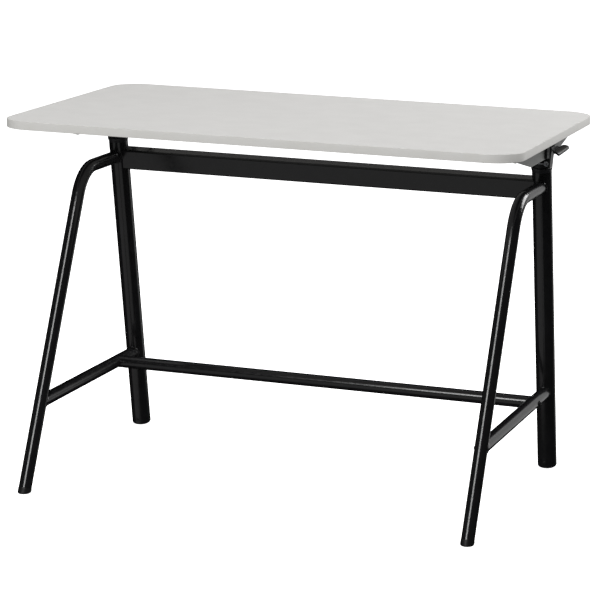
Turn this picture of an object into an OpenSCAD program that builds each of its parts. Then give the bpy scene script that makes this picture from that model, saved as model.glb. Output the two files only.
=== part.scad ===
// Work table with a gas-lift top: two leaning telescopic columns, two bent front legs,
// a hand lever under the right edge that frees both gas springs at once.
// Units are millimetres. X runs left to right, Y from front to rear, Z up from the floor.

/* [Table top] */
// width of the table top, left to right
top_w = 1000; // [960:10:1200]
// depth of the table top, front to rear
top_d = 600; // [580:10:700]
// thickness of the board
top_t = 16; // [14:1:22]
// radius of the corners in plan
corner_r = 60; // [20:5:80]
// thickness of the plastic edge band round the board
band_t = 2; // [1:0.5:3]
// height of the work surface at its lowest setting
top_h = 708; // [700:1:740]
// how far the top slides up along the columns
stroke = 400; // [200:10:400]

/* [Columns] */
// distance from the middle of the table to the middle of each side frame
side_x = 437; // [400:1:450]
// angle of the columns from vertical, top leaning to the front
col_lean = 12; // [8:1:14]
// how far the column's centre line meets the floor behind the top's front edge
col_foot_y = 562; // [540:1:570]
// outside diameter of the outer tube
col_d = 38; // [38:0.5:40]
// wall of all round steel tubes
wall = 1.5; // [1.2:0.1:2]
// outside diameter of the inner tube
inner_d = 32; // [31:0.5:32]

/* [Front legs] */
// outside diameter of the front legs and stretchers
leg_d = 25; // [22:0.5:28]
// angle of the front legs from vertical, top leaning to the rear
leg_lean = 25; // [20:1:28]
// where the leg's centre line meets the floor, from the top's front edge
leg_foot_y = -16.7; // [-30:0.1:0]
// radius of the bend at the top of the leg, on the centre line
bend_r = 80; // [50:5:100]
// height of the level part of the leg
run_z = 583; // [560:1:590]

/* [Beam and stretchers] */
// height of the beam's centre
beam_z = 580; // [560:1:585]
// beam height along the columns
beam_h = 41; // [30:1:50]
// beam thickness
beam_t = 29; // [18:1:30]
// height of the stretchers' centre lines
stretch_z = 160.5; // [120:0.5:220]
// the long stretcher's distance behind the top's front edge
stretch_y = 430; // [300:5:440]

/* [Top brackets] */
// width of the folded bracket under the top
bracket_w = 40; // [40:1:44]
// sheet thickness of the bracket
bracket_s = 3; // [2.5:0.5:3]
// depth of the bracket below the board
bracket_h = 46; // [46:1:48]
// length of the neck between the bracket and the column's collar
neck_h = 20; // [20:1:22]

/* [Release lever] */
// how far the lever turns when it is squeezed
lever_turn = 12; // [8:1:12]
// length of the grip paddle, front to rear
paddle_l = 77; // [64:1:80]
// width of the grip paddle
paddle_w = 16; // [15:1:20]

/* [Hidden] */
$fn = 64;
e = 0.05;
col_r = col_d / 2;
inner_r = inner_d / 2;
leg_r = leg_d / 2;
gap = 0.1;
cap_r = leg_r + 0.4;
// where the leg's tube starts, along its centre line; the foot cap fills the rest
cap_s = 8;
// the frame's origin is the middle of the overall footprint, on the floor
origin_y = (top_d + leg_foot_y - cap_r / cos(leg_lean)) / 2;
under_z = top_h - top_t;
br_z = under_z - bracket_h;
head_z = br_z - neck_h;
collar_r = col_r + 1.5;
collar_h = 9;
collar_s = (head_z - 1.5) / cos(col_lean);
col_top_s = collar_s - collar_h;
// the column's foot is square to its axis and stands on its front rim
col_bot_s = col_r * tan(col_lean) + 2.1;
glide_t = 3;
head_y = col_foot_y - (head_z + neck_h / 2) * tan(col_lean);
head_y0 = head_y - 74;
head_y1 = head_y + 24;
seat_s = (br_z + 5.4) / cos(col_lean);
shoulder_s = seat_s - 10;
neck_r = inner_r + 2;
rod_top_s = seat_s + 5.2;
pin_top_s = seat_s + 8.7;
pin_y = col_foot_y - pin_top_s * sin(col_lean);
pin_z = pin_top_s * cos(col_lean);
pivot_x = 12;
pivot_z = pin_z + 4;
nose_r = 3;
link_x = 17;
link_y = pin_y - 25;
link_z = head_z + 8;
ring_s = 42;
gas_s0 = 34;
gas_s1 = gas_s0 + stroke + 86;
spring_y = pin_y + 10.3;
lug_front = pin_y - 25;
lug_rear = pin_y + 16.7;
lug_t = 6;
bolt_y0 = head_y0 + 27;
bolt_y1 = head_y1 - 12;
bolt_z = br_z + 9;
cover_y = head_y0 + 15;
black = [0.09, 0.09, 0.09];
steel = [0.72, 0.72, 0.74];
bright = [0.82, 0.83, 0.85];
plastic = [0.06, 0.06, 0.065];
grey = [0.47, 0.47, 0.46];
white = [0.9, 0.9, 0.88];
screw_y = [100, 200, 300, top_d - 90];

// moves children from the top's front edge to the frame's origin
module placed() {
    translate([0, -origin_y, 0]) children();
}

// one side of the table: sx is -1 for left, 1 for right
module on_side(sx) {
    translate([sx * side_x, -origin_y, 0]) children();
}

// Z runs up a column's centre line from the floor
module column_axis(sx) {
    translate([sx * side_x, col_foot_y - origin_y, 0]) rotate([col_lean, 0, 0]) children();
}

// Z runs up a front leg's centre line from the floor
module leg_axis(sx) {
    translate([sx * side_x, leg_foot_y - origin_y, 0]) rotate([-leg_lean, 0, 0]) children();
}

// a straight tube along Z
module tube(r_out, r_in, h) {
    difference() {
        cylinder(r = r_out, h = h);
        translate([0, 0, -1]) cylinder(r = r_in, h = h + 2);
    }
}

// a rod along +Y
module rod_y(r, l) {
    rotate([-90, 0, 0]) cylinder(r = r, h = l);
}

// a rod along +X
module rod_x(r, l) {
    rotate([0, 90, 0]) cylinder(r = r, h = l);
}

// a rectangle with true round corners, centred
module round_rect(w, d, r) {
    square([w - 2 * r, d], center = true);
    square([w, d - 2 * r], center = true);
    for (sx = [-1, 1]) {
        for (sy = [-1, 1]) {
            translate([sx * (w / 2 - r), sy * (d / 2 - r)]) circle(r = r);
        }
    }
}

// ---------- table top ----------

module tabletop() {
    color(white) difference() {
        translate([0, top_d / 2 - origin_y, under_z])
            linear_extrude(top_t)
                round_rect(top_w - 2 * band_t, top_d - 2 * band_t, corner_r - band_t);
        for (sx = [-1, 1]) {
            for (y = screw_y) {
                on_side(sx) translate([0, y, under_z - 1]) cylinder(r = 2.5, h = 12.5);
            }
        }
    }
}

// outline ring of the board, as tall as the board
module edge_band() {
    color(white) translate([0, top_d / 2 - origin_y, under_z]) linear_extrude(top_t) difference() {
        round_rect(top_w, top_d, corner_r);
        round_rect(top_w - 2 * band_t, top_d - 2 * band_t, corner_r - band_t);
    }
}

// ---------- brackets under the top ----------

module bracket(sx) {
    ny = head_y0 - 80;
    ry = head_y1 - 4;
    half = bracket_w / 2;
    on_side(sx) difference() {
        translate([-half, 0, 0]) rotate([90, 0, 90]) linear_extrude(bracket_w)
            polygon([[62, under_z], [62, under_z - bracket_s], [80, under_z - bracket_s],
                [ny, br_z], [ry, br_z], [top_d - 55, br_z + 19], [top_d - 55, under_z]]);
        translate([-half + bracket_s, 50, br_z - 1])
            cube([bracket_w - 2 * bracket_s, top_d - 80, bracket_h - bracket_s + 1]);
        for (y = screw_y) {
            translate([0, y, under_z - 10]) cylinder(r = 2.6, h = 20);
        }
        for (y = [bolt_y0, bolt_y1]) {
            translate([-half - 1, y, bolt_z]) rod_x(3.1, bracket_w + 2);
        }
        // the wall towards the middle of the table is cut back further at the front
        translate([sx > 0 ? -half - 1 : half - bracket_s - 0.5, 0, 0]) rotate([90, 0, 90])
            linear_extrude(bracket_s + 1.5) polygon([[80, under_z - bracket_s], [ny + 28, br_z],
                [ny + 28, br_z - 2], [60, br_z - 2], [60, under_z - bracket_s]]);
        // window for the neck of the release lever
        translate([half - bracket_s - 1, pin_y - 19, pivot_z - 9])
            cube([bracket_s + 2, 31, 18]);
    }
}

module bracket_left() {
    color(grey) bracket(-1);
}

module bracket_right() {
    color(grey) bracket(1);
}

// a pan-head wood screw pointing up, its head's seat at z = 0
module wood_screw() {
    difference() {
        union() {
            translate([0, 0, -2.6]) cylinder(r = 4.4, h = 2.6);
            cylinder(r = 2.42, h = 12);
            translate([0, 0, 12]) cylinder(r1 = 2.42, r2 = 0.5, h = 1.5);
        }
        translate([0, 0, -3]) cylinder(r = 1.9, h = 2, $fn = 6);
    }
}

module bracket_screws() {
    color(steel) for (sx = [-1, 1]) {
        for (y = screw_y) {
            on_side(sx) translate([0, y, under_z - bracket_s]) wood_screw();
        }
    }
}

// ---------- head blocks ----------

module head_block(sx) {
    half = bracket_w / 2;
    boss = half - bracket_s - 0.3;
    on_side(sx) difference() {
        union() {
            // flange under the bracket, longer to the front than the neck below it
            translate([0, head_y - 4, br_z - 4.5]) linear_extrude(4.2) round_rect(2 * neck_r, 54, neck_r);
            intersection() {
                translate([0, col_foot_y, 0]) rotate([col_lean, 0, 0])
                    translate([0, 0, collar_s + 0.8]) cylinder(r = neck_r, h = 40);
                translate([-half, head_y - 50, head_z - 10]) cube([bracket_w, 100, neck_h + 9.7]);
            }
            translate([-boss, head_y0 + 6, br_z - 0.5]) cube([2 * boss, head_y1 - head_y0 - 10, 8.5]);
            for (y = [bolt_y0, bolt_y1]) {
                translate([-boss, y - 8, br_z]) cube([2 * boss, 16, 13]);
            }
            for (y = [lug_front - lug_t, lug_rear]) {
                translate([pivot_x - 6, y, br_z]) cube([boss - pivot_x + 6, lug_t, pivot_z + 5 - br_z]);
            }
        }
        // pivot hole, cross bolt holes
        translate([pivot_x, lug_front - lug_t - 1, pivot_z]) rod_y(2.05, 60);
        for (y = [bolt_y0, bolt_y1]) {
            translate([-boss - 1, y, bolt_z]) rod_x(3.05, 2 * boss + 2);
        }
        // bore for the inner tube, hole for the piston rod, seat for its nut
        translate([0, col_foot_y, 0]) rotate([col_lean, 0, 0]) {
            translate([0, 0, shoulder_s - 60]) cylinder(r = inner_r + e, h = 60);
            translate([0, 0, shoulder_s - 1]) cylinder(r = 4.05, h = 20);
            translate([0, 0, seat_s]) cylinder(r = 8.5, h = 20);
        }
    }
}

module head_block_left() {
    color(plastic) head_block(-1);
}

module head_block_right() {
    color(plastic) head_block(1);
}

// a button-head screw pointing to -Z from a seat at z = 0
module button_screw(head_r, head_t, shank_r, shank_l, key_r) {
    difference() {
        union() {
            cylinder(r = head_r, h = head_t * 0.5);
            translate([0, 0, head_t * 0.5]) cylinder(r1 = head_r, r2 = head_r * 0.62, h = head_t * 0.5);
            translate([0, 0, -shank_l]) cylinder(r = shank_r, h = shank_l + 0.1);
        }
        translate([0, 0, head_t * 0.35]) cylinder(r = key_r, h = head_t, $fn = 6);
    }
}

module head_bolts() {
    color(steel) for (sx = [-1, 1]) {
        for (y = [bolt_y0, bolt_y1]) {
            for (d = [-1, 1]) {
                on_side(sx) translate([d * bracket_w / 2, y, bolt_z])
                    rotate([0, d * 90, 0]) button_screw(5, 3.2, 2.95, 14, 2);
            }
        }
    }
}

// ---------- telescopic columns ----------

module column(sx) {
    difference() {
        column_axis(sx) translate([0, 0, col_bot_s]) tube(col_r, col_r - wall, col_top_s - col_bot_s);
        column_axis(sx) translate([0, 0, col_bot_s + 10]) rotate([90, 0, 0]) cylinder(r = 2.1, h = 30);
    }
}

module column_left() {
    color(black) column(-1);
}

module column_right() {
    color(black) column(1);
}

// plastic collar on top of the outer tube with the guide sleeve that goes down inside it
module collar(sx) {
    ri = inner_r + 0.06;
    ro = col_r - wall - 0.06;
    column_axis(sx) translate([0, 0, col_top_s]) rotate_extrude()
        polygon([[ri, -60], [ro, -60], [ro, 0], [col_r + 0.2, 0], [collar_r, 6],
            [collar_r, collar_h - 0.8], [collar_r - 0.8, collar_h], [ri + 0.8, collar_h], [ri, collar_h - 0.8]]);
}

module collar_left() {
    color(plastic) collar(-1);
}

module collar_right() {
    color(plastic) collar(1);
}

module inner_tube(sx) {
    column_axis(sx) translate([0, 0, ring_s + 3]) tube(inner_r, inner_r - wall, shoulder_s - 0.2 - ring_s - 3);
}

module inner_tube_left() {
    color(steel) inner_tube(-1);
}

module inner_tube_right() {
    color(steel) inner_tube(1);
}

// guide ring round the inner tube's lower end
module slide_ring(sx) {
    ro = col_r - wall - 0.08;
    column_axis(sx) translate([0, 0, ring_s]) rotate_extrude()
        polygon([[inner_r - wall, 0], [ro - 1, 0], [ro, 1], [ro, 33], [inner_r + e, 33],
            [inner_r + e, 3], [inner_r - wall, 3]]);
}

module slide_ring_left() {
    color(plastic) slide_ring(-1);
}

module slide_ring_right() {
    color(plastic) slide_ring(1);
}

// plug and rim in the foot of a column; its front rim is worn flat on the floor
module column_glide(sx) {
    difference() {
        column_axis(sx) difference() {
            translate([0, 0, col_bot_s]) rotate_extrude()
                polygon([[0, -glide_t], [col_r - 2, -glide_t], [col_r - 0.6, -glide_t + 0.6],
                    [col_r, -glide_t + 2], [col_r, 0], [col_r - wall - gap, 0],
                    [col_r - wall - gap, 22], [0, 22]]);
            translate([0, 0, col_bot_s + 6]) cylinder(r = 4.05, h = 30);
            translate([0, 0, col_bot_s + 10]) rotate([90, 0, 0]) translate([0, 0, 7]) cylinder(r = 2.05, h = 30);
        }
        translate([sx * side_x - 50, col_foot_y - origin_y - 50, -20]) cube([100, 100, 20]);
    }
}

module column_glide_left() {
    color(plastic) column_glide(-1);
}

module column_glide_right() {
    color(plastic) column_glide(1);
}

// small screws through the front of the column feet into the plugs
module foot_screws() {
    color(steel) for (sx = [-1, 1]) {
        column_axis(sx) translate([0, -col_r - 0.1, col_bot_s + 10]) rotate([90, 0, 0])
            button_screw(3.4, 1.4, 2, 11, 1.2);
    }
}

// ---------- gas springs ----------

module gas_cylinder(sx) {
    column_axis(sx) difference() {
        union() {
            translate([0, 0, gas_s0]) cylinder(r = 11, h = gas_s1 - gas_s0);
            translate([0, 0, col_bot_s + 7]) cylinder(r = 4, h = gas_s0 - col_bot_s - 6);
        }
        translate([0, 0, gas_s0 + 6]) cylinder(r = 9.5, h = gas_s1 - gas_s0 - 18);
        translate([0, 0, gas_s1 - 20]) cylinder(r = 4.06, h = 30);
    }
}

module gas_cylinder_left() {
    color(black) gas_cylinder(-1);
}

module gas_cylinder_right() {
    color(black) gas_cylinder(1);
}

// piston rod with its piston; the top is drilled for the release pin
module piston_rod(sx) {
    column_axis(sx) difference() {
        union() {
            translate([0, 0, gas_s0 + 24]) cylinder(r = 9.42, h = 14);
            translate([0, 0, gas_s0 + 37]) cylinder(r = 4, h = rod_top_s - gas_s0 - 37);
        }
        translate([0, 0, rod_top_s - 28]) cylinder(r = 2.05, h = 40);
    }
}

module piston_rod_left() {
    color(bright) piston_rod(-1);
}

module piston_rod_right() {
    color(bright) piston_rod(1);
}

module rod_nuts() {
    color(steel) for (sx = [-1, 1]) {
        column_axis(sx) translate([0, 0, seat_s + 0.1]) difference() {
            cylinder(r = 7.2, h = 5, $fn = 6);
            translate([0, 0, -1]) cylinder(r = 4.05, h = 7);
        }
    }
}

module release_pin(sx) {
    column_axis(sx) {
        translate([0, 0, rod_top_s - 22]) cylinder(r = 2, h = pin_top_s - rod_top_s + 21.4);
        translate([0, 0, pin_top_s - 0.6]) cylinder(r1 = 2, r2 = 1.2, h = 0.6);
    }
}

module release_pin_left() {
    color(bright) release_pin(-1);
}

module release_pin_right() {
    color(bright) release_pin(1);
}

// ---------- release linkage ----------

// barrel on the pivot, finger over the release pin, neck through the bracket, arm down to the link
module crank(sx) {
    barrel_y0 = lug_front + 0.3;
    arm_top = pivot_z + 2.5;
    on_side(sx) difference() {
        union() {
            translate([pivot_x, barrel_y0, pivot_z]) rod_y(4.2, spring_y - 0.3 - barrel_y0);
            translate([0, pin_y - 5, pivot_z - 2.5]) cube([pivot_x, 10, 5]);
            translate([0, pin_y - 5, pin_z + nose_r + 0.3]) rod_y(nose_r, 10);
            translate([pivot_x, pin_y - 17, pivot_z - 2.5]) cube([12.8, 26, 5]);
            translate([0, pin_y - 8, 0]) rotate([90, 0, 0]) linear_extrude(22)
                polygon([[22.3, head_z + 2], [25, head_z + 2], [27.5, pivot_z - 4], [27.5, arm_top],
                    [24.5, arm_top], [24.5, pivot_z - 4]]);
            translate([link_x, link_y + 2.6, link_z - 4]) cube([6.5, 3.7, 8]);
            translate([link_x, link_y + 2.6, link_z]) rod_y(4, 3.7);
        }
        // on the left the link rod passes the arm on its way to the right
        if (sx < 0) {
            translate([20, link_y - 6, head_z]) cube([10, 9.8, link_z + 5.5 - head_z]);
        }
        translate([pivot_x, barrel_y0 - 1, pivot_z]) rod_y(2.05, 50);
        translate([link_x, link_y + 1, link_z]) rod_y(2.05, 8);
    }
}

// places the grip paddle: outer edge lower than the inner one, rear end a little higher
module paddle_frame() {
    on_side(1) translate([26, pin_y + 8, pivot_z - 3]) rotate([2.5, 16, 0]) children();
}

module release_lever() {
    color(black) union() {
        crank(1);
        paddle_frame() translate([-1.6, -26, -0.9]) cube([paddle_w - 0.4, 40, 1.8]);
    }
}

module lever_paddle() {
    color(plastic) paddle_frame() difference() {
        union() {
            translate([paddle_w / 2 + 2.6, 0, -2.4]) linear_extrude(4.8)
                round_rect(paddle_w, paddle_l, 5);
            translate([paddle_w - 0.4, -paddle_l / 2 + 5, -3.8]) cube([3, paddle_l - 10, 3]);
        }
        translate([-3, -26.2, -1]) cube([paddle_w + 1.2, 40.4, 2]);
    }
}

module release_rocker() {
    color(black) crank(-1);
}

// pins that carry the lever and the rocker
module pivot_pin(sx) {
    on_side(sx) {
        translate([pivot_x, lug_front - lug_t - 0.2, pivot_z]) rod_y(2, lug_rear + 2 * lug_t - lug_front + 1.4);
        translate([pivot_x, lug_front - lug_t - 1.9, pivot_z]) rod_y(3.4, 1.8);
    }
}

module pivot_pin_left() {
    color(bright) pivot_pin(-1);
}

module pivot_pin_right() {
    color(bright) pivot_pin(1);
}

// wire coils of the return spring, wound round the lever's pivot pin
module return_spring() {
    color(bright) on_side(1) for (k = [0 : 4]) {
        translate([pivot_x, spring_y + 0.7 + k * 1.2, pivot_z]) rotate([-90, 0, 0])
            rotate_extrude() translate([3, 0]) circle(r = 0.56, $fn = 24);
    }
}

module link_pin(sx) {
    on_side(sx) translate([link_x, link_y - 3, link_z]) rod_y(2, 9.5);
}

module lever_link_pin() {
    color(bright) link_pin(1);
}

module rocker_link_pin() {
    color(bright) link_pin(-1);
}

// straight rod that pulls the left rocker; a flat eye at each end
module link_rod() {
    x0 = -side_x + link_x;
    x1 = side_x + link_x;
    color(bright) placed() difference() {
        union() {
            translate([x0 + 3, link_y, link_z]) rod_x(2.5, x1 - x0 - 6);
            for (x = [x0, x1]) {
                translate([x, link_y - 2, link_z]) rod_y(4.6, 4);
            }
        }
        for (x = [x0, x1]) {
            translate([x, link_y - 4, link_z]) rod_y(2.35, 8);
        }
    }
}

// cover on the right bracket, over the front bolt's head, ending at the window
module lever_cover() {
    half = bracket_w / 2;
    color(plastic) on_side(1) difference() {
        union() {
            translate([half + 0.1, cover_y, br_z + 2]) cube([1.6, 33, bracket_h - 4]);
            translate([half + 0.1, cover_y, br_z + 2]) cube([5, 22, bracket_h - 4]);
        }
        translate([half - 1, bolt_y0 - 7, bolt_z - 6]) cube([4.6, 14, 12]);
        for (z = [br_z + 28, br_z + 38]) {
            translate([half - 1, cover_y + 11, z]) rod_x(1.55, 10);
        }
    }
}

module cover_screws() {
    half = bracket_w / 2;
    color(steel) on_side(1) for (z = [br_z + 28, br_z + 38]) {
        translate([half + 5.2, cover_y + 11, z]) rotate([0, 90, 0]) button_screw(2.8, 1.4, 1.5, 5, 1);
    }
}

// ---------- front legs ----------

// the leg's path as a solid rod: straight, bend, level run up to the column
module leg_path(sx, r, start) {
    bend = 90 - leg_lean;
    corner_y = leg_foot_y + run_z * tan(leg_lean);
    t = bend_r * tan(bend / 2);
    run_y = col_foot_y - run_z * tan(col_lean);
    straight = run_z / cos(leg_lean) - t;
    leg_axis(sx) translate([0, 0, start]) cylinder(r = r, h = straight - start);
    // the bend turns about a centre below the start of the level run
    on_side(sx) translate([0, corner_y + t, run_z - bend_r]) rotate([90, -90, 90])
        rotate_extrude(angle = bend) translate([bend_r, 0]) circle(r = r);
    on_side(sx) translate([0, corner_y + t, run_z]) rod_y(r, run_y - corner_y - t);
}

module front_leg(sx) {
    difference() {
        leg_path(sx, leg_r, cap_s);
        leg_path(sx, leg_r - wall, cap_s - 2);
        column_axis(sx) cylinder(r = col_r + gap, h = collar_s);
    }
}

module front_leg_left() {
    color(black) front_leg(-1);
}

module front_leg_right() {
    color(black) front_leg(1);
}

// plug in the foot of a front leg, cut level so that it stands flat on the floor
module leg_cap(sx) {
    difference() {
        leg_axis(sx) {
            translate([0, 0, -10]) cylinder(r = cap_r, h = cap_s + 10);
            cylinder(r = leg_r - wall - gap, h = cap_s + 16);
        }
        translate([sx * side_x - 30, leg_foot_y - origin_y - 30, -20]) cube([60, 60, 20]);
    }
}

module leg_cap_left() {
    color(plastic) leg_cap(-1);
}

module leg_cap_right() {
    color(plastic) leg_cap(1);
}

// ---------- beam and stretchers ----------

module beam_section(w, h, r) {
    round_rect(w, h, r);
}

module crossbeam() {
    half = side_x;
    color(black) difference() {
        translate([0, col_foot_y - origin_y, 0]) rotate([col_lean, 0, 0])
            translate([-half, 0, beam_z / cos(col_lean)]) rotate([90, 0, 90])
                linear_extrude(2 * half) difference() {
                    beam_section(beam_t, beam_h, 4);
                    beam_section(beam_t - 2 * wall, beam_h - 2 * wall, 2.5);
                }
        for (sx = [-1, 1]) {
            column_axis(sx) cylinder(r = col_r + gap, h = collar_s);
            on_side(sx) translate([0, col_foot_y - 200, run_z]) rod_y(leg_r + gap, 100);
            for (k = [0, 1]) {
                beam_screw_place(sx, k) translate([0, 0, -8]) cylinder(r = 2.6, h = 16);
            }
        }
    }
}

// a screw's place on the beam's rear face, Z pointing out
module beam_screw_place(sx, k) {
    translate([0, col_foot_y - origin_y, 0]) rotate([col_lean, 0, 0])
        translate([sx * (side_x - col_r - 14 - 14 * k), beam_t / 2, beam_z / cos(col_lean)])
            rotate([-90, 0, 0]) children();
}

// stub welded to the column, inside the end of the beam
module beam_stub(sx) {
    w = beam_t - 2 * wall - 0.4;
    h = beam_h - 2 * wall - 0.4;
    x0 = sx > 0 ? side_x - col_r - 40 : -side_x;
    difference() {
        translate([0, col_foot_y - origin_y, 0]) rotate([col_lean, 0, 0])
            translate([x0, 0, beam_z / cos(col_lean)]) rotate([90, 0, 90])
                linear_extrude(col_r + 40) difference() {
                    beam_section(w, h, 2.3);
                    beam_section(w - 6, h - 6, 1);
                }
        column_axis(sx) cylinder(r = col_r + gap, h = collar_s);
        for (k = [0, 1]) {
            beam_screw_place(sx, k) translate([0, 0, -6]) cylinder(r = 2.55, h = 10);
        }
    }
}

module beam_stub_left() {
    color(steel) beam_stub(-1);
}

module beam_stub_right() {
    color(steel) beam_stub(1);
}

module beam_screws() {
    color(steel) for (sx = [-1, 1]) {
        for (k = [0, 1]) {
            beam_screw_place(sx, k) button_screw(4.6, 2.6, 2.45, 5.4, 1.7);
        }
    }
}

module side_stretcher(sx) {
    y0 = leg_foot_y + stretch_z * tan(leg_lean);
    y1 = col_foot_y - stretch_z * tan(col_lean);
    difference() {
        on_side(sx) translate([0, y0, stretch_z]) rotate([-90, 0, 0]) tube(leg_r, leg_r - wall, y1 - y0);
        leg_axis(sx) cylinder(r = leg_r + gap, h = 400);
        column_axis(sx) cylinder(r = col_r + gap, h = 400);
        on_side(sx) translate([-40, stretch_y, stretch_z]) rod_x(3.15, 80);
    }
}

module side_stretcher_left() {
    color(black) side_stretcher(-1);
}

module side_stretcher_right() {
    color(black) side_stretcher(1);
}

module long_stretcher() {
    color(black) difference() {
        placed() translate([-side_x, stretch_y, stretch_z]) rotate([0, 90, 0])
            tube(leg_r, leg_r - wall, 2 * side_x);
        for (sx = [-1, 1]) {
            on_side(sx) translate([0, stretch_y - 40, stretch_z]) rod_y(leg_r + gap, 80);
        }
    }
}

// threaded plug in each end of the long stretcher
module stretcher_insert(sx) {
    x0 = sx > 0 ? side_x - leg_r - 34 : -side_x + leg_r + 4;
    placed() translate([x0, stretch_y, stretch_z]) rotate([0, 90, 0])
        tube(leg_r - wall - gap, 3.05, 30);
}

module stretcher_insert_left() {
    color(plastic) stretcher_insert(-1);
}

module stretcher_insert_right() {
    color(plastic) stretcher_insert(1);
}

module stretcher_bolts() {
    color(black) for (sx = [-1, 1]) {
        on_side(sx) translate([sx * (leg_r + 0.1), stretch_y, stretch_z]) rotate([0, sx * 90, 0])
            button_screw(5.2, 3.3, 3, 2 * leg_r + 26, 2);
    }
}

// ---------- nodes ----------

tabletop();
edge_band();
bracket_left();
bracket_right();
bracket_screws();
head_block_left();
head_block_right();
head_bolts();
column_left();
column_right();
collar_left();
collar_right();
inner_tube_left();
inner_tube_right();
slide_ring_left();
slide_ring_right();
column_glide_left();
column_glide_right();
foot_screws();
gas_cylinder_left();
gas_cylinder_right();
piston_rod_left();
piston_rod_right();
rod_nuts();
release_pin_left();
release_pin_right();
release_lever();
lever_paddle();
release_rocker();
pivot_pin_left();
pivot_pin_right();
return_spring();
lever_link_pin();
rocker_link_pin();
link_rod();
lever_cover();
cover_screws();
front_leg_left();
front_leg_right();
leg_cap_left();
leg_cap_right();
crossbeam();
beam_stub_left();
beam_stub_right();
beam_screws();
side_stretcher_left();
side_stretcher_right();
long_stretcher();
stretcher_insert_left();
stretcher_insert_right();
stretcher_bolts();
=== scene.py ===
# %% [markdown]
# # A small gas-lift work table
# The real object is a light sit and stand table. A pale laminated board rides on two
# leaning telescopic columns, and two bent front legs, two side stretchers, a long
# stretcher and a beam hold the columns upright. A squeeze lever under the right edge
# frees both gas springs. The engineering model gives every part its size and place, so
# this script only adds what makes them look real: finishes, rounded edges, welds,
# screws, the moulded grip and the wire spring. All lengths below are in metres.

# %% Load the fixed frame
import math

import bmesh
import bpy
from mathutils import Matrix, Vector


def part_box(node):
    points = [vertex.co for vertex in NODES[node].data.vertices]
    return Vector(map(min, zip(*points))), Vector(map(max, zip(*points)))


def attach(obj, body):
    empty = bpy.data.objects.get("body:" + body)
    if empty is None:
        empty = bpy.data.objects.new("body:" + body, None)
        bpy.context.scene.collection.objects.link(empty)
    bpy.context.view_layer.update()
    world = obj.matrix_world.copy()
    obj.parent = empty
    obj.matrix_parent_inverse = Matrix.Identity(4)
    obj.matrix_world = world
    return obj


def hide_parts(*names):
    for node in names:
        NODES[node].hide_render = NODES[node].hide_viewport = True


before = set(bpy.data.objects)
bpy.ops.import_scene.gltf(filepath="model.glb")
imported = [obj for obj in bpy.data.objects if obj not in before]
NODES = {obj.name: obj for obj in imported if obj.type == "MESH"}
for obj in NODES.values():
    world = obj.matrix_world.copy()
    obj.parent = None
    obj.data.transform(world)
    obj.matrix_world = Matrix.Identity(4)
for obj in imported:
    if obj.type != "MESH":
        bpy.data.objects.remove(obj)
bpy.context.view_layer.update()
MM = 0.001

# %% [markdown]
# ## Camera
# The view is through a long lens from about five metres, a little above the table and
# well to its right. A long lens keeps the legs nearly parallel. The camera's aim could be
# set by a tracking constraint, but three plain turns are exact and leave nothing live:
# yaw about the vertical, pitch down and a slight roll.

# %% Camera
yaw, pitch, roll = 0.33529, 0.208935, 0.0180
forward = Vector((-math.sin(yaw) * math.cos(pitch), math.cos(yaw) * math.cos(pitch), -math.sin(pitch)))
level = Vector((math.cos(yaw), math.sin(yaw), 0.0))
upright = level.cross(forward)
view_right = math.cos(roll) * level + math.sin(roll) * upright
view_up = -math.sin(roll) * level + math.cos(roll) * upright
camera_data = bpy.data.cameras.new("long_lens")
camera_data.sensor_width = 36.0
camera_data.lens = 163.79
camera_data.clip_end = 200.0
camera = bpy.data.objects.new("camera", camera_data)
CAMERA_PLACE = (1.6954, -4.84883, 1.4429)
camera.matrix_world = Matrix.Translation(CAMERA_PLACE) @ Matrix(
    (view_right, view_up, -forward)).transposed().to_4x4()
bpy.context.scene.collection.objects.link(camera)
bpy.context.scene.camera = camera
bpy.context.scene.view_settings.view_transform = "Standard"
print("camera distance:", round(camera.location.length, 2), "m")


# %% [markdown]
# ## Colour and finish helpers
# Paint and plastic colours are easiest to write as sRGB hex values, but shaders work in
# linear light, so one function converts them. Another adds a shader node, sets its
# values and joins its inputs. Real finishes differ in scale more than in kind: each has a
# slow drift of colour, patches that are duller or glossier, and small bumps. So one
# recipe serves them all, and every material below states its own sizes.

# %% Helpers for colours, nodes and finishes
def linear(hex_colour):
    """sRGB hex text to a linear RGBA colour."""
    parts = [int(hex_colour[i:i + 2], 16) / 255 for i in (1, 3, 5)]
    return (*[p / 12.92 if p <= 0.04045 else ((p + 0.055) / 1.055) ** 2.4 for p in parts], 1.0)


def add(tree, kind, settings=None, **inputs):
    """Adds a node. Settings are its properties; inputs are values or sockets.

    An input is given by its socket's name with _ for a space, or by _ and its number.
    """
    node = tree.nodes.new(kind)
    for key, value in (settings or {}).items():
        setattr(node, key, value)
    for name, value in inputs.items():
        socket = node.inputs[int(name[1:]) if name[0] == "_" else name.replace("_", " ")]
        if isinstance(value, bpy.types.NodeSocket):
            tree.links.new(value, socket)
        else:
            socket.default_value = value
    return node


EVEN = (1.0, 1.0, 1.0)
NOISE_LOW, NOISE_HIGH = 0.35, 0.65  # most of a soft noise lies between these


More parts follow.
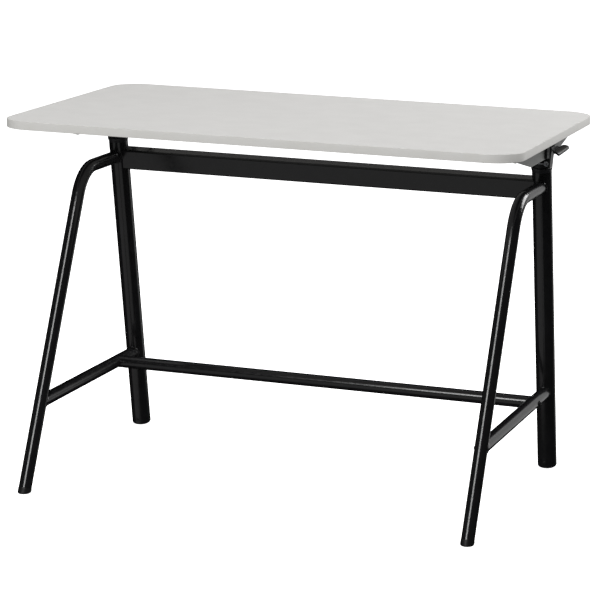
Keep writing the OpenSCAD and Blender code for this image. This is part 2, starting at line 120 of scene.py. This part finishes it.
def make_finish(name, colours, mottle, rough, patches, bumps, depth, stretch=EVEN, **surface):
    """A material whose colour, roughness and height each follow a noise in object space.

    mottle, patches and bumps are each a lump size in metres and a level of detail, rough
    is the lowest and highest roughness, and depth is how high the bumps are in metres.
    What is the same all over, such as the IOR, goes on the shader's own sockets.
    """
    material = bpy.data.materials.new(name)
    material.use_nodes = True
    tree = material.node_tree
    shader = tree.nodes["Principled BSDF"]
    for label, value in surface.items():
        shader.inputs[label.replace("_", " ")].default_value = value
    place = add(tree, "ShaderNodeTexCoord")
    noises = []
    for (size, detail), scale in ((mottle, EVEN), (patches, stretch), (bumps, stretch)):
        spot = add(tree, "ShaderNodeMapping", Vector=place.outputs["Object"], Scale=scale)
        noises.append(add(tree, "ShaderNodeTexNoise", Vector=spot.outputs["Vector"],
                          Scale=1.0 / size, Detail=detail).outputs["Fac"])
    tint = add(tree, "ShaderNodeValToRGB", Fac=noises[0])
    for stop, at, colour in zip(tint.color_ramp.elements, (NOISE_LOW, NOISE_HIGH), colours):
        stop.position, stop.color = at, linear(colour)
    sheen = add(tree, "ShaderNodeMapRange", Value=noises[1], From_Min=NOISE_LOW,
                From_Max=NOISE_HIGH, To_Min=rough[0], To_Max=rough[1])
    bump = add(tree, "ShaderNodeBump", Height=noises[2], Distance=depth, Strength=1.0)
    tree.links.new(tint.outputs["Color"], shader.inputs["Base Color"])
    tree.links.new(sheen.outputs["Result"], shader.inputs["Roughness"])
    tree.links.new(bump.outputs["Normal"], shader.inputs["Normal"])
    return material


# %% [markdown]
# ## Floor and studio light
# The table stands on a plain pale floor in a white surround. Black gloss shows what is
# around it, so the lights are few and soft. A tall softbox nearly in front, a little to
# the left, draws the thin bright line down each tube. One at the right and behind lights
# the board's end, and a big one overhead lights its top. A pale panel behind the right
# side is what the sides of the tubes mirror, and a weak low one stands for the light
# that the floor in front throws back. Between them it is kept dim, which is what keeps
# the black tubes deep, so the floor and the surround don't show in gloss.

# %% Floor, surround and lights
CLOUD_SIZE = 0.4


def stage_material(name, colour, glow):
    """A matt glowing material that drifts very slightly between its colour and white."""
    material = bpy.data.materials.new(name)
    material.use_nodes = True
    tree = material.node_tree
    shader = tree.nodes["Principled BSDF"]
    for label, value in (("Roughness", 0.9), ("Emission Color", linear("#FFFFFF")),
                         ("Emission Strength", glow)):
        shader.inputs[label].default_value = value
    place = add(tree, "ShaderNodeTexCoord")
    cloud = add(tree, "ShaderNodeTexNoise", Vector=place.outputs["Object"],
                Scale=1.0 / CLOUD_SIZE, Detail=2.0)
    tint = add(tree, "ShaderNodeValToRGB", Fac=cloud.outputs["Fac"])
    for stop, shade in zip(tint.color_ramp.elements, (colour, "#FFFFFF")):
        stop.color = linear(shade)
    tree.links.new(tint.outputs["Color"], shader.inputs["Base Color"])
    return material


def stage_object(name, mesh, material):
    thing = bpy.data.objects.new(name, mesh)
    thing.data.materials.append(material)
    bpy.context.scene.collection.objects.link(thing)
    thing.visible_glossy = False
    return thing


floor_mesh = bpy.data.meshes.new("floor")
FLOOR_HALF, FLOOR_Z = 40.0, -0.5 * MM
floor_mesh.from_pydata([(x * FLOOR_HALF, y * FLOOR_HALF, FLOOR_Z)
                        for x, y in ((-1, -1), (1, -1), (1, 1), (-1, 1))], [], [(0, 1, 2, 3)])
floor = stage_object("floor", floor_mesh, stage_material("pale_floor", "#FBFBFB", 0.9))
floor.visible_diffuse = False
floor.visible_shadow = False
shell = bmesh.new()
SURROUND_RADIUS = 60.0
bmesh.ops.create_icosphere(shell, subdivisions=4, radius=SURROUND_RADIUS)
bmesh.ops.reverse_faces(shell, faces=shell.faces)
shell_mesh = bpy.data.meshes.new("surround")
shell.to_mesh(shell_mesh)
shell.free()
surround = stage_object("surround", shell_mesh, stage_material("white_surround", "#FFFFFF", 1.2))
surround.visible_diffuse = False
surround.visible_shadow = False


def softbox(name, azimuth, elevation, distance, width, height, power, aim=(0.0, 0.0, 0.45)):
    """An area light aimed at the table. Azimuth is from the front, positive to the right."""
    light = bpy.data.lights.new(name, "AREA")
    light.shape = "RECTANGLE"
    light.size, light.size_y, light.energy = width, height, power
    lamp = bpy.data.objects.new(name, light)
    a, e = math.radians(azimuth), math.radians(elevation)
    away = Vector((math.sin(a) * math.cos(e), -math.cos(a) * math.cos(e), math.sin(e)))
    lamp.matrix_world = Matrix.Translation(Vector(aim) + away * distance) @ away.to_track_quat(
        "Z", "Y").to_matrix().to_4x4()
    bpy.context.scene.collection.objects.link(lamp)
    return lamp


# azimuth and elevation in degrees; distance, width and height in metres; power in watts
softbox("front_softbox", -9, 30, 3.6, 0.9, 1.5, 48)
softbox("right_softbox", 136, 30, 3.6, 2.0, 1.6, 78)
rear_panel = softbox("rear_panel", 158, 0, 2.15, 1.1, 1.9, 4.0, aim=(0.45, 0.2, 0.35))
front_bounce = softbox("front_bounce", -20, -33, 1.5, 2.4, 1.2, 3.3, aim=(0.0, 0.16, 0.58))
rear_panel.visible_camera = front_bounce.visible_camera = False
softbox("overhead_softbox", 0, 88, 3.0, 3.4, 3.4, 42)
world = bpy.data.worlds.new("studio")
bpy.context.scene.world = world
world.use_nodes = True
sky = world.node_tree.nodes["Background"]
sky.inputs["Color"].default_value = linear("#FFFFFF")
sky.inputs["Strength"].default_value = 0.43
world.cycles_visibility.glossy = False

# %% [markdown]
# ## Board laminate
# The board is chipboard faced with pale grey melamine laminate, pressed against a steel
# plate with a fine pearl structure. The eye sees an even satin grey, with a very slight
# mottle and tiny pits about a millimetre apart that break up reflections.

# %% Laminate
laminate = make_finish("melamine_laminate", ("#CDCCCA", "#D0CFCD"), mottle=(0.05, 4.0),
                       rough=(0.44, 0.56), patches=(0.0015, 2.0), bumps=(0.0012, 1.0),
                       depth=0.00005, IOR=1.5, Specular_IOR_Level=0.35)

# %% [markdown]
# ## Edge band
# A 2 mm strip of ABS plastic in the board's colour is glued round the edge and milled
# to a small radius. It's slightly smoother than the laminate, with faint lengthwise
# scraper marks.

# %% Edge band plastic
edge_plastic = make_finish("abs_edge_band", ("#CAC9C5", "#CDCCC9"), mottle=(0.03, 3.0),
                           rough=(0.38, 0.48), patches=(0.002, 2.0), bumps=(0.002, 2.0),
                           depth=0.00003, stretch=(0.15, 0.15, 6.0), IOR=1.53,
                           Specular_IOR_Level=0.4)

# %% [markdown]
# ## Powder coat
# The tubes, the beam and the columns are steel with a baked polyester powder. The
# powder melts into a skin with a soft orange peel about 2 mm across, so reflections
# have slightly wavy edges. The black one is satin; the brackets under the board get the
# same coating in grey.

# %% Powder coats
def powder_coat(name, colours, rough, peel=0.0022, depth=0.00006):
    return make_finish(name, colours, mottle=(0.02, 3.0), rough=(rough - 0.03, rough + 0.04),
                       patches=(0.006, 3.0), bumps=(peel, 1.0), depth=depth, IOR=1.5,
                       Specular_IOR_Level=0.5)


black_powder = powder_coat("black_polyester_powder", ("#131314", "#161617"), 0.17, depth=0.00003)
grey_powder = powder_coat("grey_polyester_powder", ("#666765", "#6A6B69"), 0.42)
lever_powder = powder_coat("black_lever_powder", ("#1B1C1C", "#202121"), 0.34, peel=0.0015)
cast_black = powder_coat("black_painted_casting", ("#111112", "#161617"), 0.50, 0.0012, 0.0001)
cylinder_gloss = powder_coat("gloss_black_enamel", ("#0C0C0D", "#0F0F10"), 0.12, 0.004, 0.00003)

# %% [markdown]
# ## Moulded plastics
# Feet, collars, the cover and the grip are moulded from black nylon or ABS in spark
# eroded moulds. That leaves an even fine grain of about half a millimetre, which makes
# the plastic look matter and a touch lighter than the coated steel beside it.

# %% Moulded plastics
def moulded(name, colours, rough, spark_grain=0.0006, level=0.45):
    return make_finish(name, colours, mottle=(0.012, 2.0), rough=(rough - 0.05, rough + 0.05),
                       patches=(0.004, 2.0), bumps=(spark_grain, 1.0), depth=0.00006, IOR=1.53,
                       Specular_IOR_Level=level)


foot_nylon = moulded("black_nylon_foot", ("#0C0C0D", "#101011"), 0.48, level=0.3)
guide_nylon = moulded("black_acetal_guide", ("#1C1C1F", "#202023"), 0.40)
cover_abs = moulded("black_abs_cover", ("#101011", "#141415"), 0.5)
grip_abs = moulded("black_abs_grip", ("#0C0D0C", "#10110F"), 0.42, 0.0008, level=0.28)

# %% [markdown]
# ## Bare and plated metals
# Screws are zinc plated or blackened, the sliding tube is hard chromed, and pins and
# piston rods are ground and polished. Zinc shows a faint grey-blue cloud, ground steel
# shows rings round its axis that are far too fine to see one by one, so they are drawn
# at half a millimetre and kept shallow.

# %% Metals
RINGS_ROUND_AXIS = (0.1, 0.1, 1.0)


def bare_metal(name, colours, rough, stretch=EVEN):
    return make_finish(name, colours, mottle=(0.006, 3.0), rough=(rough * 0.8, rough * 1.25),
                       patches=(0.0005, 2.0), bumps=(0.0005, 2.0), depth=0.00001,
                       stretch=stretch, Metallic=1.0)


zinc = bare_metal("bright_zinc_plate", ("#B9BCC2", "#C7C9C9"), 0.32)
chrome = bare_metal("hard_chrome", ("#D2D4D8", "#D8DADC"), 0.26, RINGS_ROUND_AXIS)
ground = bare_metal("ground_steel", ("#C3C5C8", "#CDCFD1"), 0.16, RINGS_ROUND_AXIS)
wire_steel = bare_metal("drawn_spring_wire", ("#A9ABAD", "#B5B7B8"), 0.28)
black_oxide = powder_coat("black_oxide_steel", ("#131314", "#1A1A1C"), 0.36, 0.0008, 0.00003)

# %% Give every part its finish
FINISH = {
    "board": laminate, "edge_band": edge_plastic, "grey_paint": grey_powder,
    "black_powder_coat": black_powder, "black_lever_paint": lever_powder, "black_cast": cast_black,
    "guide_plastic": guide_nylon, "foot_plastic": foot_nylon, "grip_plastic": grip_abs,
    "cover_plastic": cover_abs, "inner_tube_steel": chrome, "cylinder_black": cylinder_gloss,
    "ground_steel": ground, "zinc_steel": zinc, "black_screw_steel": black_oxide,
    "spring_steel": wire_steel,
}
for part in NODES.values():
    for holder in part.material_slots:
        holder.material = FINISH[holder.material.name]
print("finishes:", len(FINISH))

# %% [markdown]
# ## Helpers for pieces
# A finished piece is one plain mesh at the origin, in the same frame as the engineering
# model. It rides on a body, takes its finish from a slot, and hides the parts it stands
# for. Shapes made by modifiers are turned into plain meshes before that.

# %% Helpers that make and register a piece
def new_object(name, points, faces=(), edges=()):
    mesh = bpy.data.meshes.new(name)
    mesh.from_pydata([tuple(p) for p in points], list(edges), list(faces))
    thing = bpy.data.objects.new(name, mesh)
    bpy.context.scene.collection.objects.link(thing)
    return thing


def bake_shape(thing):
    """Turns an object with modifiers into the plain mesh they make."""
    bpy.context.view_layer.update()
    shown = thing.evaluated_get(bpy.context.evaluated_depsgraph_get())
    mesh = bpy.data.meshes.new_from_object(shown)
    thing.modifiers.clear()
    thing.data = mesh
    mesh.name = thing.name


def open_edges(mesh):
    shape = bmesh.new()
    shape.from_mesh(mesh)
    count = sum(not e.is_manifold for e in shape.edges)
    shape.free()
    return count


def register(piece, body, slot, *stands_for):
    """Gives a piece the finish from its slot, puts it on its body and hides the parts it stands for."""
    piece.data.materials.clear()
    piece.data.materials.append(FINISH[slot])
    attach(piece, body)
    if stands_for:
        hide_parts(*stands_for)
    print(piece.name, "faces:", len(piece.data.polygons), "open edges:", open_edges(piece.data))


# %% [markdown]
# ## Broken edges
# Folded sheet, cast blocks and moulded covers never have knife edges: a die, a mould or
# a tumbling drum rounds them by half a millimetre or so, and each one catches a thin
# light line. A bevel modifier on a welded copy of the engineering mesh gives that. Flat
# faces are joined first, so that only real corners are rounded, and hardened normals
# keep the flat faces looking flat. The front feet are also worn rounder where they meet
# the floor, so their lowest rim gets a wider round of its own first.

# %% Round the edges of blocks, brackets, levers and caps
def soften(node, width, body, slot, segments=3, floor_round=0.0):
    loose = bmesh.new()
    loose.from_mesh(NODES[node].data)
    bmesh.ops.remove_doubles(loose, verts=loose.verts, dist=2e-6)
    bmesh.ops.dissolve_limit(loose, angle_limit=math.radians(0.6), verts=loose.verts, edges=loose.edges)
    if floor_round:
        rim = [e for e in loose.edges if all(v.co.z < 0.01 * MM for v in e.verts)]
        bmesh.ops.bevel(loose, geom=rim, offset=floor_round, segments=4, profile=0.5, affect="EDGES")
    loose.verts.index_update()
    piece = new_object(node + "_softened", [v.co[:] for v in loose.verts],
                       [[v.index for v in f.verts] for f in loose.faces])
    loose.free()
    piece.data.polygons.foreach_set("use_smooth", [True] * len(piece.data.polygons))
    rounding = piece.modifiers.new("rounding", "BEVEL")
    rounding.width, rounding.segments = width, segments
    rounding.limit_method, rounding.angle_limit = "ANGLE", math.radians(32)
    rounding.use_clamp_overlap = True
    rounding.miter_outer = "MITER_ARC"
    rounding.harden_normals = True
    bake_shape(piece)
    register(piece, body, slot, node)


for side in ("left", "right"):
    soften("bracket_" + side, 0.8 * MM, "desk_top", "grey_paint")
    soften("head_block_" + side, 0.7 * MM, "desk_top", "black_cast")
    soften("leg_cap_" + side, 0.6 * MM, "base_frame", "foot_plastic", floor_round=2.5 * MM)
soften("release_lever", 0.4 * MM, "lever", "black_lever_paint", 2)
soften("release_rocker", 0.4 * MM, "rocker", "black_lever_paint", 2)
soften("lever_cover", 0.6 * MM, "desk_top", "cover_plastic")

# %% [markdown]
# ## A tree that sweeps a round section along a path
# A weld bead and a spring are both a round section carried along a path. The node tree
# takes the path as a chain of edges, spaces points evenly along it, swells and shrinks
# the section in step with the ripples a welder leaves, and skins it. Its sizes are named
# inputs, so one tree serves both; the spring simply has no ripple.

# %% Build the sweep tree
def new_tree(name, inputs):
    tree = bpy.data.node_groups.new(name, "GeometryNodeTree")
    for label, kind in [("Geometry", "Geometry")] + inputs:
        tree.interface.new_socket(name=label, in_out="INPUT", socket_type="NodeSocket" + kind)
    tree.interface.new_socket(name="Geometry", in_out="OUTPUT", socket_type="NodeSocketGeometry")
    return tree, tree.nodes.new("NodeGroupInput").outputs


def close_tree(tree, geometry, material):
    real = add(tree, "GeometryNodeRealizeInstances", Geometry=geometry)
    smooth = add(tree, "GeometryNodeSetShadeSmooth", Geometry=real.outputs[0])
    done = add(tree, "GeometryNodeSetMaterial", Geometry=smooth.outputs[0], Material=material)
    out = tree.nodes.new("NodeGroupOutput")
    tree.links.new(done.outputs[0], out.inputs[0])


def run_tree(thing, tree, values):
    """Runs a node tree on an object with named input values and keeps the plain mesh."""
    modifier = thing.modifiers.new(tree.name, "NODES")
    modifier.node_group = tree
    for item in tree.interface.items_tree:
        if item.in_out == "INPUT" and item.name in values:
            modifier[item.identifier] = values[item.name]
    bake_shape(thing)


sweep, given = new_tree("round_sweep", [("Section Radius", "Float"), ("Point Spacing", "Float"),
                                        ("Ripple Spacing", "Float"), ("Ripple Depth", "Float"),
                                        ("Finish", "Material")])
path = add(sweep, "GeometryNodeMeshToCurve", Mesh=given["Geometry"])
even = add(sweep, "GeometryNodeResampleCurve", {"mode": "LENGTH"}, Curve=path.outputs[0],
           Length=given["Point Spacing"])
along = add(sweep, "GeometryNodeSplineParameter")
turns = add(sweep, "ShaderNodeMath", {"operation": "DIVIDE"}, _0=along.outputs["Length"],
            _1=given["Ripple Spacing"])
angle = add(sweep, "ShaderNodeMath", {"operation": "MULTIPLY"}, _0=turns.outputs[0], _1=math.tau)
wave = add(sweep, "ShaderNodeMath", {"operation": "SINE"}, _0=angle.outputs[0])
swell = add(sweep, "ShaderNodeMath", {"operation": "MULTIPLY_ADD"}, _0=wave.outputs[0],
            _1=given["Ripple Depth"], _2=1.0)
sized = add(sweep, "GeometryNodeSetCurveRadius", Curve=even.outputs[0], Radius=swell.outputs[0])
section = add(sweep, "GeometryNodeCurvePrimitiveCircle", Resolution=12, Radius=given["Section Radius"])
skin = add(sweep, "GeometryNodeCurveToMesh", Curve=sized.outputs[0], Profile_Curve=section.outputs[0],
           Fill_Caps=True)
close_tree(sweep, skin.outputs[0], given["Finish"])
print("sweep tree nodes:", len(sweep.nodes))

# %% [markdown]
# ## Weld beads
# Each side frame is welded: the leg's level run and the side stretcher meet the column,
# and the stretcher's front end meets the leg. The bead follows the curve where one tube
# meets the other, which is worked out here point by point: for each angle round the
# ending tube, how far along its axis the other tube's surface lies. Ripples are about
# 1.6 mm apart, and the powder coat runs over them.

# %% Weld beads at the tube joints
column_box, long_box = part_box("column_right"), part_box("long_stretcher")
leg_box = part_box("front_leg_right")
SIDE_X = (column_box[0].x + column_box[1].x) / 2
TUBE_R = (long_box[1].z - long_box[0].z) / 2
COLUMN_R = (column_box[1].x - column_box[0].x) / 2
STRETCH_Z, RUN_Z = (long_box[0].z + long_box[1].z) / 2, leg_box[1].z - TUBE_R
COLUMN_LEAN, LEG_LEAN = math.radians(12), math.radians(25)
BOARD_FRONT_Y = -284.533 * MM
COLUMN_FOOT_Y, LEG_FOOT_Y = BOARD_FRONT_Y + 562 * MM, BOARD_FRONT_Y - 16.7 * MM
column_line = (Vector((0, COLUMN_FOOT_Y, 0)),
               Vector((0, -math.sin(COLUMN_LEAN), math.cos(COLUMN_LEAN))))
leg_line = (Vector((0, LEG_FOOT_Y, 0)), Vector((0, math.sin(LEG_LEAN), math.cos(LEG_LEAN))))


def meeting_curve(height, toward, line, radius, count=120):
    """Where a level tube at this height, running along Y, meets the tube round a line."""
    foot, way = line
    points = []
    for k in range(count):
        a = math.tau * k / count
        x, z = TUBE_R * math.cos(a), height + TUBE_R * math.sin(a)
        middle = foot.y + way.y / way.z * z
        reach = math.sqrt(radius ** 2 - x ** 2) / way.z
        points.append(Vector((x, middle + toward * reach, z)))
    return points


beads, links = [], []
for x in (-SIDE_X, SIDE_X):
    for height, toward, line, radius in ((RUN_Z, -1, column_line, COLUMN_R),
                                         (STRETCH_Z, -1, column_line, COLUMN_R),
                                         (STRETCH_Z, 1, leg_line, TUBE_R + 0.01 * MM)):
        ring = [p + Vector((x, 0, 0)) for p in meeting_curve(height, toward, line, radius)]
        start = len(beads)
        links += [(start + k, start + (k + 1) % len(ring)) for k in range(len(ring))]
        beads += ring
welds = new_object("weld_beads", beads, edges=links)
run_tree(welds, sweep, {"Section Radius": 1.7 * MM, "Point Spacing": 0.4 * MM,
                        "Ripple Spacing": 1.6 * MM, "Ripple Depth": 0.09, "Finish": black_powder})
register(welds, "base_frame", "black_powder_coat")

# %% [markdown]
# ## Return spring
# The lever springs back by a coil of 1.1 mm drawn wire round its pivot pin. The path is
# a helix of close turns with a short straight leg at its first end, made point by point
# because a helix is easy to state as a formula, and skinned by the same sweep tree.

# %% Return spring
coil_low, coil_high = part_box("return_spring")
wire = 0.55 * MM
coil_mid = (coil_low + coil_high) / 2
coil_r = (coil_high.x - coil_low.x) / 2 - wire
coil_length = coil_high.y - coil_low.y - 2 * wire
TURNS, COIL_STEPS = 4.75, 228
helix = []
for k in range(COIL_STEPS + 1):
    a = math.tau * TURNS * k / COIL_STEPS
    helix.append(Vector((coil_mid.x + coil_r * math.sin(a),
                         coil_low.y + wire + coil_length * k / COIL_STEPS,
                         coil_mid.z + coil_r * math.cos(a))))
helix.insert(0, helix[0] + Vector((-coil_r * 1.2, 0, 0)))
spring = new_object("return_spring_wire", helix, edges=[(k, k + 1) for k in range(len(helix) - 1)])
run_tree(spring, sweep, {"Section Radius": wire, "Point Spacing": 0.35 * MM, "Ripple Spacing": 1.0,
                         "Ripple Depth": 0.0, "Finish": wire_steel})
register(spring, "desk_top", "spring_steel", "return_spring")

# %% [markdown]
# ## Rounded edge band
# The band is a flat strip bent round the board and trimmed flush, then its two outer
# corners are milled to about a millimetre. That small round draws a thin light line
# along the board. The tree draws the outline as a rectangle with filleted corners, and
# fillets the strip's own section by an amount that depends on the side: generous on the
# outside, only just broken where it meets the laminate.

# %% Edge band as a swept strip
board_low, board_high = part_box("edge_band")
BAND, CORNER = 2 * MM, 60 * MM
sizes = ("Length", "Depth", "Corner Radius", "Band Thickness", "Band Height", "Milled Radius")
strip, given = new_tree("edge_strip", [(label, "Float") for label in sizes] + [("Finish", "Material")])
outline = add(strip, "GeometryNodeCurvePrimitiveQuadrilateral", Width=given["Length"],
              Height=given["Depth"])
rounded = add(strip, "GeometryNodeFilletCurve", {"mode": "POLY"}, Curve=outline.outputs[0], Count=24,
              Radius=given["Corner Radius"])
level_path = add(strip, "GeometryNodeSetCurveNormal", {"mode": "Z_UP"}, Curve=rounded.outputs[0])
section = add(strip, "GeometryNodeCurvePrimitiveQuadrilateral", Width=given["Band Thickness"],
              Height=given["Band Height"])
place = add(strip, "GeometryNodeInputPosition")
axes = add(strip, "ShaderNodeSeparateXYZ", Vector=place.outputs[0])
outer = add(strip, "FunctionNodeCompare", {"operation": "GREATER_THAN"}, _0=axes.outputs["X"], _1=0.0)
amount = add(strip, "GeometryNodeSwitch", {"input_type": "FLOAT"}, Switch=outer.outputs[0],
             _1=0.15 * MM, _2=given["Milled Radius"])
broken = add(strip, "GeometryNodeFilletCurve", {"mode": "POLY"}, Curve=section.outputs[0], Count=5,
             Radius=amount.outputs[0], Limit_Radius=True)
skin = add(strip, "GeometryNodeCurveToMesh", Curve=level_path.outputs[0],
           Profile_Curve=broken.outputs[0])
close_tree(strip, skin.outputs[0], given["Finish"])
band = new_object("edge_band_strip", [(0, 0, 0)])
size = board_high - board_low
run_tree(band, strip, {"Length": size.x - BAND, "Depth": size.y - BAND,
                       "Corner Radius": CORNER - BAND / 2, "Band Thickness": BAND,
                       "Band Height": size.z, "Milled Radius": 1.0 * MM, "Finish": edge_plastic})
band.data.transform(Matrix.Translation((board_low + board_high) / 2))
band.data.update()
beyond = [max(v.co[i] for v in band.data.vertices) - board_high[i] for i in range(3)]
print("band past its box:", [round(gap / MM, 2) for gap in beyond], "mm")
band.data.set_sharp_from_angle(angle=math.radians(40))
register(band, "desk_top", "edge_band", "edge_band")

# %% [markdown]
# ## Screws
# All the screws are button heads with a hexagon key socket. One head is turned from listed
# rings of points, and a node tree sets a copy on every place, scaled to its size,
# facing outwards and turned by a random amount, as screws are never lined up. The places
# are measured from the engineering mesh: each loose island is one screw, and its wider
# end is its head. The screws are then sorted by place, because the random turn goes by
# their order, and each has to keep its own turn however often the script is run.

# %% Screw head template
def hexagon(angle, across):
    return across / math.cos((angle % (math.pi / 3)) - math.pi / 6)


RINGS = [(0.58, -2.6), (0.58, 0.0), (1.0, 0.0), (1.0, 0.22), (0.985, 0.34), (0.93, 0.56), (0.83, 0.75),
         (0.70, 0.89), (0.56, 0.975), ("key", 1.0), ("key", 0.985), ("key", 0.35)]
STEPS = 24
head_points, head_faces = [], []
for radius, z in RINGS:
    for k in range(STEPS):
        a = math.tau * k / STEPS
        r = hexagon(a, 0.36 if z < 1.0 else 0.40) if radius == "key" else radius
        head_points.append((r * math.cos(a), r * math.sin(a), z))
for row in range(len(RINGS) - 1):
    for k in range(STEPS):
        a, b = row * STEPS + k, row * STEPS + (k + 1) % STEPS
        head_faces.append((a, b, b + STEPS, a + STEPS))
head_faces.append(tuple(reversed(range(STEPS))))
head_faces.append(tuple(range((len(RINGS) - 1) * STEPS, len(RINGS) * STEPS)))
button_head = new_object("button_head_template", head_points, head_faces)
button_head.data.set_sharp_from_angle(angle=math.radians(50))
print("screw template open edges:", open_edges(button_head.data))


# %% Measure the screws in the engineering mesh
def islands(mesh):
    """Lists of points, one list for each loose shell."""
    shape = bmesh.new()
    shape.from_mesh(mesh)
    bmesh.ops.remove_doubles(shape, verts=shape.verts, dist=2e-6)
    waiting, groups = set(shape.verts), []
    while waiting:
        front, group = [waiting.pop()], []
        while front:
            vert = front.pop()
            group.append(vert.co.copy())
            for edge in vert.link_edges:
                other = edge.other_vert(vert)
                if other in waiting:
                    waiting.remove(other)
                    front.append(other)
        groups.append(group)
    shape.free()
    return groups


def measure_screw(points, axis):
    """Seat, outward direction, head radius and head height of one screw."""
    across = axis.orthogonal().normalized()
    spans = [(way, [p.dot(way) for p in points]) for way in (across, axis.cross(across), axis)]
    centre = sum((way * (min(s) + max(s)) / 2 for way, s in spans), Vector())
    radial = [((p - centre) - axis * (p - centre).dot(axis)).length for p in points]
    radius = max(radial)
    rim = [(p - centre).dot(axis) for p, r in zip(points, radial) if r > 0.97 * radius]
    ends = [(p - centre).dot(axis) for p in points]
    if abs(min(rim) - min(ends)) < abs(max(rim) - max(ends)):
        return centre + axis * max(rim), -axis, radius, max(rim) - min(ends)
    return centre + axis * min(rim), axis, radius, max(ends) - min(rim)


# %% Build the screw tree and set the screws
scatter, given = new_tree("set_screws", [("Head", "Object"), ("Turn Seed", "Int"),
                                         ("Finish", "Material")])
facing = add(scatter, "GeometryNodeInputNamedAttribute", {"data_type": "FLOAT_VECTOR"},
             Name="facing")
size_of = add(scatter, "GeometryNodeInputNamedAttribute", {"data_type": "FLOAT_VECTOR"},
              Name="head_size")
aimed = add(scatter, "FunctionNodeAlignRotationToVector", {"axis": "Z"}, Vector=facing.outputs[0])
template = add(scatter, "GeometryNodeObjectInfo", Object=given["Head"], As_Instance=True)
copies = add(scatter, "GeometryNodeInstanceOnPoints", Points=given["Geometry"],
             Instance=template.outputs["Geometry"], Rotation=aimed.outputs[0], Scale=size_of.outputs[0])
any_turn = add(scatter, "FunctionNodeRandomValue", {"data_type": "FLOAT"}, _2=0.0, _3=math.tau,
               Seed=given["Turn Seed"])
turn = add(scatter, "ShaderNodeCombineXYZ", Z=any_turn.outputs[1])
turned = add(scatter, "GeometryNodeRotateInstances", Instances=copies.outputs[0],
             Rotation=turn.outputs[0])
close_tree(scatter, turned.outputs[0], given["Finish"])

ACROSS, UP = Vector((1, 0, 0)), Vector((0, 0, 1))
THROUGH_COLUMN = Vector((0, math.cos(COLUMN_LEAN), math.sin(COLUMN_LEAN)))
AXES = {
    "head_bolts": ACROSS, "cover_screws": ACROSS, "stretcher_bolts": ACROSS,
    "bracket_screws": UP, "beam_screws": THROUGH_COLUMN, "foot_screws": THROUGH_COLUMN,
}


def set_screws(name, body, slot, seed, *nodes):
    found = [measure_screw(group, AXES[node])
             for node in nodes for group in islands(NODES[node].data)]
    found.sort(key=lambda screw: [round(place / MM, 1) for place in screw[0]])
    piece = new_object(name, [seat for seat, _, _, _ in found])
    for label, values in (("facing", [way[:] for _, way, _, _ in found]),
                          ("head_size", [(r, r, t) for _, _, r, t in found])):
        layer = piece.data.attributes.new(label, "FLOAT_VECTOR", "POINT")
        layer.data.foreach_set("vector", [v for row in values for v in row])
    run_tree(piece, scatter, {"Head": button_head, "Turn Seed": seed, "Finish": FINISH[slot]})
    radii = sorted({round(r / MM, 1) for _, _, r, _ in found})
    print(name, "count:", len(found), "head radii:", radii, "mm")
    register(piece, body, slot, *nodes)


set_screws("frame_screws", "base_frame", "black_screw_steel", 3,
           "beam_screws", "foot_screws", "stretcher_bolts")
set_screws("bracket_bolts", "desk_top", "black_screw_steel", 5, "head_bolts", "cover_screws")
set_screws("board_screws", "desk_top", "zinc_steel", 7, "bracket_screws")
bpy.data.objects.remove(button_head)

# %% [markdown]
# ## Grip paddle
# The grip is a moulded plastic paddle shaped for two or three fingers: crowned on top,
# with a turned-down outer lip, and twisted a little so that its front end drops outwards.
# It is lofted from one section repeated along its length, narrowed at both ends to round
# the corners, twisted as it goes, and then smoothed by subdivision.

# %% Loft the grip paddle
PADDLE_BASE = Vector((SIDE_X + 26 * MM, BOARD_FRONT_Y + 429.73 * MM, 660.91 * MM))
paddle_turn = Matrix.Rotation(math.radians(16), 4, "Y") @ Matrix.Rotation(math.radians(2.5), 4, "X")
# across the grip and up, in millimetres, once round from the inner edge
SECTION = [(2.7, 0.6), (4.2, 1.9), (8.0, 2.4), (12.0, 2.3), (15.4, 1.7), (17.7, 0.4),
           (18.6, -1.6), (18.4, -3.5), (17.4, -3.8), (16.5, -2.7), (14.6, -2.0),
           (10.0, -2.3), (5.0, -2.2), (3.0, -0.9)]
# place along the grip in millimetres, and how wide the section is there
HALF = [(10.0, 1.0), (28.0, 1.0), (34.0, 0.97), (37.0, 0.88), (38.2, 0.72), (38.5, 0.50)]
STATIONS = [(-y, narrow) for y, narrow in reversed(HALF)] + HALF
GRIP_MIDDLE, HALF_LENGTH = 10.6, 38.5
loft, skins = [], []
for y, narrow in STATIONS:
    twist = Matrix.Rotation(math.radians(4 - 13 * (y + HALF_LENGTH) / (2 * HALF_LENGTH)), 4, "Y")
    for x, z in SECTION:
        local = Vector(((x - GRIP_MIDDLE) * narrow, y, z * (0.4 + 0.6 * narrow)))
        local = twist @ local + Vector((GRIP_MIDDLE, 0, 0))
        loft.append(PADDLE_BASE + paddle_turn @ (local * MM))
for row in range(len(STATIONS) - 1):
    for k in range(len(SECTION)):
        a, b = row * len(SECTION) + k, row * len(SECTION) + (k + 1) % len(SECTION)
        skins.append((a, b, b + len(SECTION), a + len(SECTION)))
skins.append(tuple(reversed(range(len(SECTION)))))
skins.append(tuple(range(len(loft) - len(SECTION), len(loft))))
grip = new_object("grip_paddle", loft, skins)
shape = bmesh.new()
shape.from_mesh(grip.data)
bmesh.ops.recalc_face_normals(shape, faces=shape.faces)
shape.to_mesh(grip.data)
shape.free()
grip.data.polygons.foreach_set("use_smooth", [True] * len(grip.data.polygons))
smoothing = grip.modifiers.new("smoothing", "SUBSURF")
smoothing.levels = smoothing.render_levels = 2
bake_shape(grip)
register(grip, "lever", "grip_plastic", "lever_paddle")
